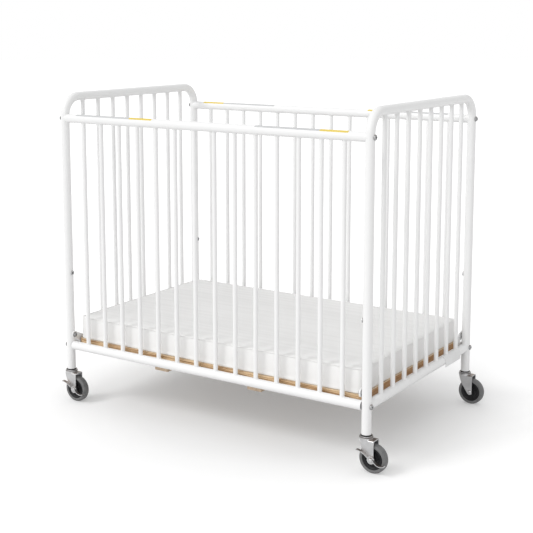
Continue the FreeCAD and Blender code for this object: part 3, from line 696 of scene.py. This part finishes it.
# Bare coloured bands over the top of the two upper side rails: side, finish, and from where to
# where along X in millimetres
BANDS = (
    ("front", "band_grey", -451, -254), ("front", "band_yellow", -254, -174),
    ("front", "band_grey", 167, 362), ("front", "band_yellow", 362, 444),
    ("back", "band_yellow", -454, -373), ("back", "band_grey", -373, -175),
    ("back", "band_yellow", 165, 245), ("back", "band_grey", 245, 429),
)
BAND_HALF_DEGREES = 47.0
BAND_LIFT = 0.12 * MM
BAND_STEPS = 12


def make_bands(finish):
    """Plain coloured bands of one finish, each a part of a sleeve round its rail."""
    outer = TUBE_RADIUS + BAND_LIFT
    section = ((outer, -1), (outer, 1), (TUBE_RADIUS, 1), (TUBE_RADIUS, -1))

    def build(work):
        for side, colour, start, end in BANDS:
            if colour != finish:
                continue
            rail = centre_of(side + "_top_rail")
            middle = Vector(((start + end) / 2 * MM, rail.y, rail.z))
            half = ALONG * (end - start) / 2 * MM
            rings = []
            for k in range(BAND_STEPS + 1):
                turn = math.radians(BAND_HALF_DEGREES * (2 * k / BAND_STEPS - 1))
                out = UP * math.cos(turn) + ACROSS * math.sin(turn)
                rings.append([work.verts.new(middle + out * reach + half * s) for reach, s in section])
            skin(work, rings)

    mesh_object("rail_" + finish, build, finish, ROOT_BODY)


# Bare plate hooked over the outer side of the right end's lower rail, with a flat lower part
PLATE_MIDDLE_Y = 190.0 * MM
PLATE_LENGTH = 102.0 * MM
PLATE_THICKNESS = 2.0 * MM
PLATE_START_DEGREES = 15.0
PLATE_STEPS = 12
PLATE_DROP = 15.5 * MM
PLATE_BEVEL = 0.6 * MM


def make_plate():
    """Plain white plate with nothing on it."""
    rail = centre_of("right_end_bottom_rail")
    outer = TUBE_RADIUS + PLATE_THICKNESS
    section = []
    for k in range(PLATE_STEPS + 1):
        turn = math.radians(PLATE_START_DEGREES + (90 - PLATE_START_DEGREES) * k / PLATE_STEPS)
        out = ALONG * math.sin(turn) + UP * math.cos(turn)
        section.append((out * TUBE_RADIUS, out * outer))
    section.append((ALONG * TUBE_RADIUS - UP * PLATE_DROP, ALONG * outer - UP * PLATE_DROP))

    def build(work):
        middle = Vector((rail.x, PLATE_MIDDLE_Y, rail.z))
        half = ACROSS * PLATE_LENGTH / 2
        rings = []
        for near, far in section:
            corners = (far - half, far + half, near + half, near - half)
            rings.append([work.verts.new(middle + corner) for corner in corners])
        skin(work, rings)

    plate = mesh_object("rail_plate", build, "plate", ROOT_BODY)
    bevel = plate.modifiers.new("bevel", "BEVEL")
    bevel.width = PLATE_BEVEL
    bevel.segments = 2
    bevel.limit_method = "ANGLE"


# Mattress: a foam block in a cloth cover, which overhangs its CAD solid a little. Its corners
# tighten as the rings of its crown shrink.
END_OVERHANG = 4.0 * MM
SIDE_OVERHANG = 1.5 * MM
CORNER_RADIUS = 15.0 * MM
CORNER_TIGHTENING = 0.4
SMALLEST_CORNER = 6.0 * MM

# Its section: inset and height of the foot's rings in millimetres, then a bowed side up to a share
# of the height, a rounded edge, and a crown with its rings' insets in millimetres
FOOT_ROWS = ((4.0, 0.0), (1.8, 1.2), (0.9, 5.0))
SIDE_INSET = 1.0 * MM
SIDE_BULGE = 0.8 * MM
SIDE_STEPS = 5
SIDE_TOP_SHARE = 0.94
EDGE_ROUND = 8.0 * MM
EDGE_STEPS = 6
CROWN_INSETS = (26, 45, 75, 120, 170, 220, 265)
CROWN_DROP = 2.0 * MM

# Cloth: the remeshed cover is inflated, and each point moves no further than the cap
VOXEL = 6.0 * MM
CLOTH_PRESSURE = 4.0
CLOTH_FRAMES = 20
CLOTH_CAP = 2.0 * MM

# Slack in the cover: scale and height of its noise; the folds stay near the edges
LONG_WAVE_SCALE = 9.0
LONG_WAVE_HEIGHT = 0.7 * MM
SHORT_WAVE_SCALE = 31.0
SHORT_WAVE_HEIGHT = 0.2 * MM
FOLD_SCALES = (55.0, 55.0, 12.0)
FOLD_HEIGHT = 0.25 * MM
FOLD_REACH = 20.0 * MM

# Foot of the cover, which spills out over the board and settles on it
FOOT_HEIGHT = 9.0 * MM
FOOT_SPILL = 4.5 * MM
FOOT_SINK = 1.2 * MM

# Piping round the upper edge
PIPING_RADIUS = 1.3 * MM
PIPING_PROUD = 0.6 * MM
PIPING_CORNER = 19.0 * MM
PIPING_CORNER_STEPS = 8
PIPING_STEP = 20.0 * MM
PIPING_SIDES = 10


def rounded_rectangle(half_x, half_y, radius, steps=10):
    """Outline of a rectangle with round corners, anticlockwise from its right side."""
    points = []
    for k, (sx, sy) in enumerate(((1, 1), (-1, 1), (-1, -1), (1, -1))):
        for step in range(steps + 1):
            turn = math.radians(90 * k + 90 * step / steps)
            x = sx * (half_x - radius) + radius * math.cos(turn)
            y = sy * (half_y - radius) + radius * math.sin(turn)
            points.append((x, y))
    return points


def mattress_rows(height):
    """Inset and height of each ring from the base to the crown."""
    side_top = height * SIDE_TOP_SHARE
    rows = in_metres(FOOT_ROWS)
    start = rows[-1][1]
    for k in range(1, SIDE_STEPS):
        inset = SIDE_INSET - SIDE_BULGE * math.sin(math.pi * k / SIDE_STEPS)
        rows.append((inset, start + (side_top - EDGE_ROUND - start) * k / SIDE_STEPS))
    for k in range(EDGE_STEPS + 1):
        turn = math.radians(90 * k / EDGE_STEPS)
        inset = SIDE_INSET + EDGE_ROUND * (1 - math.cos(turn))
        rows.append((inset, side_top - EDGE_ROUND + EDGE_ROUND * math.sin(turn)))
    shoulder = rows[-1][0]
    deepest = CROWN_INSETS[-1] * MM
    for inset in CROWN_INSETS:
        share = (inset * MM - shoulder) / (deepest - shoulder)
        rise = (height - CROWN_DROP - side_top) * math.sin(math.pi / 2 * share)
        rows.append((inset * MM, side_top + rise))
    return rows


def mattress_halves(low, high):
    """Half the cover's length and width, from the corners of its CAD solid's box."""
    return (high.x - low.x) / 2 + END_OVERHANG, (high.y - low.y) / 2 + SIDE_OVERHANG


def build_mattress(work):
    """Closed cushion: flat base, bowed sides, rounded edges and a low crown."""
    low, high = corners_of("mattress")
    half_x, half_y = mattress_halves(low, high)
    centre = (low + high) / 2
    rings = []
    for inset, height in mattress_rows(high.z - low.z):
        corner = max(CORNER_RADIUS - inset * CORNER_TIGHTENING, SMALLEST_CORNER)
        outline = rounded_rectangle(half_x - inset, half_y - inset, corner)
        rings.append([work.verts.new((centre.x + x, centre.y + y, low.z + height)) for x, y in outline])
    skin(work, rings)


def apply_modifiers(thing):
    """Replace an object's mesh with its evaluated one and drop the modifiers."""
    depsgraph = bpy.context.evaluated_depsgraph_get()
    mesh = bpy.data.meshes.new_from_object(thing.evaluated_get(depsgraph))
    thing.modifiers.clear()
    thing.data = mesh
    return mesh


def puff(thing):
    """Remesh, inflate with cloth for a few frames and keep each point near where it was."""
    remesh = thing.modifiers.new("remesh", "REMESH")
    remesh.mode = "VOXEL"
    remesh.voxel_size = VOXEL
    start = apply_modifiers(thing)
    rest = [vertex.co.copy() for vertex in start.vertices]
    cloth = thing.modifiers.new("cloth", "CLOTH")
    cloth.settings.use_pressure = True
    cloth.settings.uniform_pressure_force = CLOTH_PRESSURE
    cloth.settings.effector_weights.gravity = 0
    scene = bpy.context.scene
    for step in range(1, CLOTH_FRAMES + 1):
        scene.frame_set(step)
    puffed = apply_modifiers(thing)
    scene.frame_set(1)
    for vertex, home in zip(puffed.vertices, rest):
        move = vertex.co - home
        if move.length > CLOTH_CAP:
            vertex.co = home + move * (CLOTH_CAP / move.length)


def crease(thing):
    """Slack in the cover: shallow waves, short folds near the edges, and a foot that spills."""
    low, high = corners_of("mattress")
    vertices = thing.data.vertices
    normals = [vertex.normal.copy() for vertex in vertices]
    for vertex, normal in zip(vertices, normals):
        place = vertex.co.copy()
        lift = noise.noise(place * LONG_WAVE_SCALE) * LONG_WAVE_HEIGHT
        lift += noise.noise(place * SHORT_WAVE_SCALE) * SHORT_WAVE_HEIGHT
        if min(high.x - abs(place.x), high.y - abs(place.y)) < FOLD_REACH:
            lift += noise.noise(place * Vector(FOLD_SCALES)) * FOLD_HEIGHT
            spill = max(0.0, 1 - (place.z - low.z) / FOOT_HEIGHT)
            place += Vector((normal.x * FOOT_SPILL, normal.y * FOOT_SPILL, -FOOT_SINK)) * spill
        vertex.co = place + normal * lift


def make_piping(height, inset):
    """Line of piping round the mattress, at a height and an inset from the cover's sides."""
    low, high = corners_of("mattress")
    half_x, half_y = mattress_halves(low, high)
    corners = rounded_rectangle(half_x - inset, half_y - inset, PIPING_CORNER, PIPING_CORNER_STEPS)
    outline = [Vector((x, y, height)) for x, y in corners]
    points = []
    for k, point in enumerate(outline):
        after = outline[(k + 1) % len(outline)]
        pieces = max(1, int((after - point).length / PIPING_STEP))
        points += [point.lerp(after, i / pieces) for i in range(pieces)]

    def build(work):
        sweep(work, points, PIPING_RADIUS, PIPING_SIDES)

    mesh_object("mattress_piping", build, "seam", ROOT_BODY)


def make_mattress():
    """Mattress in its cover, with piping along the upper edge."""
    pad = mesh_object("mattress_pad", build_mattress, "mattress_cover", ROOT_BODY)
    puff(pad)
    crease(pad)
    shade_smooth(pad.data)
    smooth = pad.modifiers.new("smooth", "SUBSURF")
    smooth.levels = 1
    smooth.render_levels = 1
    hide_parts("mattress")
    low, high = corners_of("mattress")
    side_top = low.z + (high.z - low.z) * SIDE_TOP_SHARE
    halfway = EDGE_ROUND * (1 - math.cos(math.pi / 4))
    make_piping(side_top - halfway, SIDE_INSET + halfway - PIPING_PROUD)


def place_camera():
    """Camera at the photograph's viewpoint."""
    data = bpy.data.cameras.new("camera")
    data.sensor_width = SENSOR
    data.lens = CAMERA_FOCAL_PIXELS / FRAME_PIXELS * SENSOR
    data.shift_y = CAMERA_SHIFT
    camera = bpy.data.objects.new("camera", data)
    camera.location = CAMERA_PLACE
    camera.rotation_euler = (math.radians(90 - CAMERA_PITCH), 0, math.radians(CAMERA_AZIMUTH))
    bpy.context.scene.collection.objects.link(camera)
    bpy.context.scene.camera = camera


def sun(name, power, height, side):
    """Soft sun lamp from one direction."""
    data = bpy.data.lights.new(name, "SUN")
    data.energy = power
    data.angle = math.radians(LAMP_ANGLE)
    lamp = bpy.data.objects.new(name, data)
    turn = math.radians(side)
    rise = math.radians(height)
    level = ALONG * math.sin(turn) - ACROSS * math.cos(turn)
    source = level * math.cos(rise) + UP * math.sin(rise)
    lamp.rotation_mode = "QUATERNION"
    lamp.rotation_quaternion = source.to_track_quat("Z", "Y")
    bpy.context.scene.collection.objects.link(lamp)


def seen_directly(tree):
    """1 for rays that show the background: camera, glossy and transmission rays."""
    path = tree.nodes.new("ShaderNodeLightPath")
    seen = maths(tree, "MAXIMUM", path.outputs["Is Camera Ray"], path.outputs["Is Glossy Ray"])
    return maths(tree, "MAXIMUM", seen, path.outputs["Is Transmission Ray"])


def light_the_scene():
    """Two soft lamps and a white sky, shown without a tone curve."""
    bpy.context.scene.view_settings.view_transform = "Standard"
    sun("key", KEY_POWER, KEY_HEIGHT, KEY_SIDE)
    sun("front", FRONT_POWER, FRONT_HEIGHT, FRONT_SIDE)
    world = bpy.data.worlds.new("sky")
    bpy.context.scene.world = world
    world.use_nodes = True
    tree = world.node_tree
    tree.nodes.clear()
    output = tree.nodes.new("ShaderNodeOutputWorld")
    background = tree.nodes.new("ShaderNodeBackground")
    background.inputs["Color"].default_value = (1, 1, 1, 1)
    strength = spread(tree, seen_directly(tree), SKY_STRENGTH, 1.0)
    tree.links.new(strength, background.inputs["Strength"])
    tree.links.new(background.outputs[0], output.inputs[0])


def floor_material():
    """Pale matt floor that glows to white by itself, more so away from the object, so the floor near the
    object carries painted shade.
    """
    material = bpy.data.materials.new("floor_white")
    material.use_nodes = True
    tree = material.node_tree
    tree.nodes.clear()
    output = tree.nodes.new("ShaderNodeOutputMaterial")
    diffuse = tree.nodes.new("ShaderNodeBsdfDiffuse")
    vector = coordinates(tree)
    grain = noise_of(tree, vector, 3.0, 2.0)
    shade = ramp(tree, grain, ((0.3, (FLOOR_COLOUR,) * 3), (0.7, (FLOOR_COLOUR * 1.01,) * 3)))
    tree.links.new(shade, diffuse.inputs["Color"])
    distance = tree.nodes.new("ShaderNodeVectorMath")
    distance.operation = "LENGTH"
    tree.links.new(vector, distance.inputs[0])
    # Glow strength rises with distance from the middle; the weaker glow near the object is painted shade
    # round its shadow
    near_far = spread(
        tree, distance.outputs["Value"], FLOOR_GLOW_NEAR, FLOOR_GLOW_FAR, FLOOR_NEAR_RADIUS, FLOOR_FAR_RADIUS,
    )
    glow = tree.nodes.new("ShaderNodeEmission")
    glow.inputs["Color"].default_value = (1, 1, 1, 1)
    tree.links.new(maths(tree, "MULTIPLY", seen_directly(tree), near_far), glow.inputs["Strength"])
    both = tree.nodes.new("ShaderNodeAddShader")
    tree.links.new(diffuse.outputs[0], both.inputs[0])
    tree.links.new(glow.outputs[0], both.inputs[1])
    tree.links.new(both.outputs[0], output.inputs[0])
    return material


def lay_floor():
    """Flat round floor."""
    mesh = bpy.data.meshes.new("floor")
    work = bmesh.new()
    bmesh.ops.create_circle(work, cap_ends=True, segments=FLOOR_SIDES, radius=FLOOR_RADIUS)
    work.to_mesh(mesh)
    work.free()
    mesh.materials.append(floor_material())
    floor = bpy.data.objects.new("floor", mesh)
    bpy.context.scene.collection.objects.link(floor)


place_camera()
light_the_scene()
lay_floor()
dress_frame()
for corner_name in CORNERS:
    make_tyre(corner_name)
    make_hub(corner_name)
    make_axle_bolt(corner_name)
make_rail_bolts()
make_bracket_bolts()
make_caster_stems()
make_socket_lips()
make_welds()
make_bands("band_grey")
make_bands("band_yellow")
make_plate()
make_mattress()
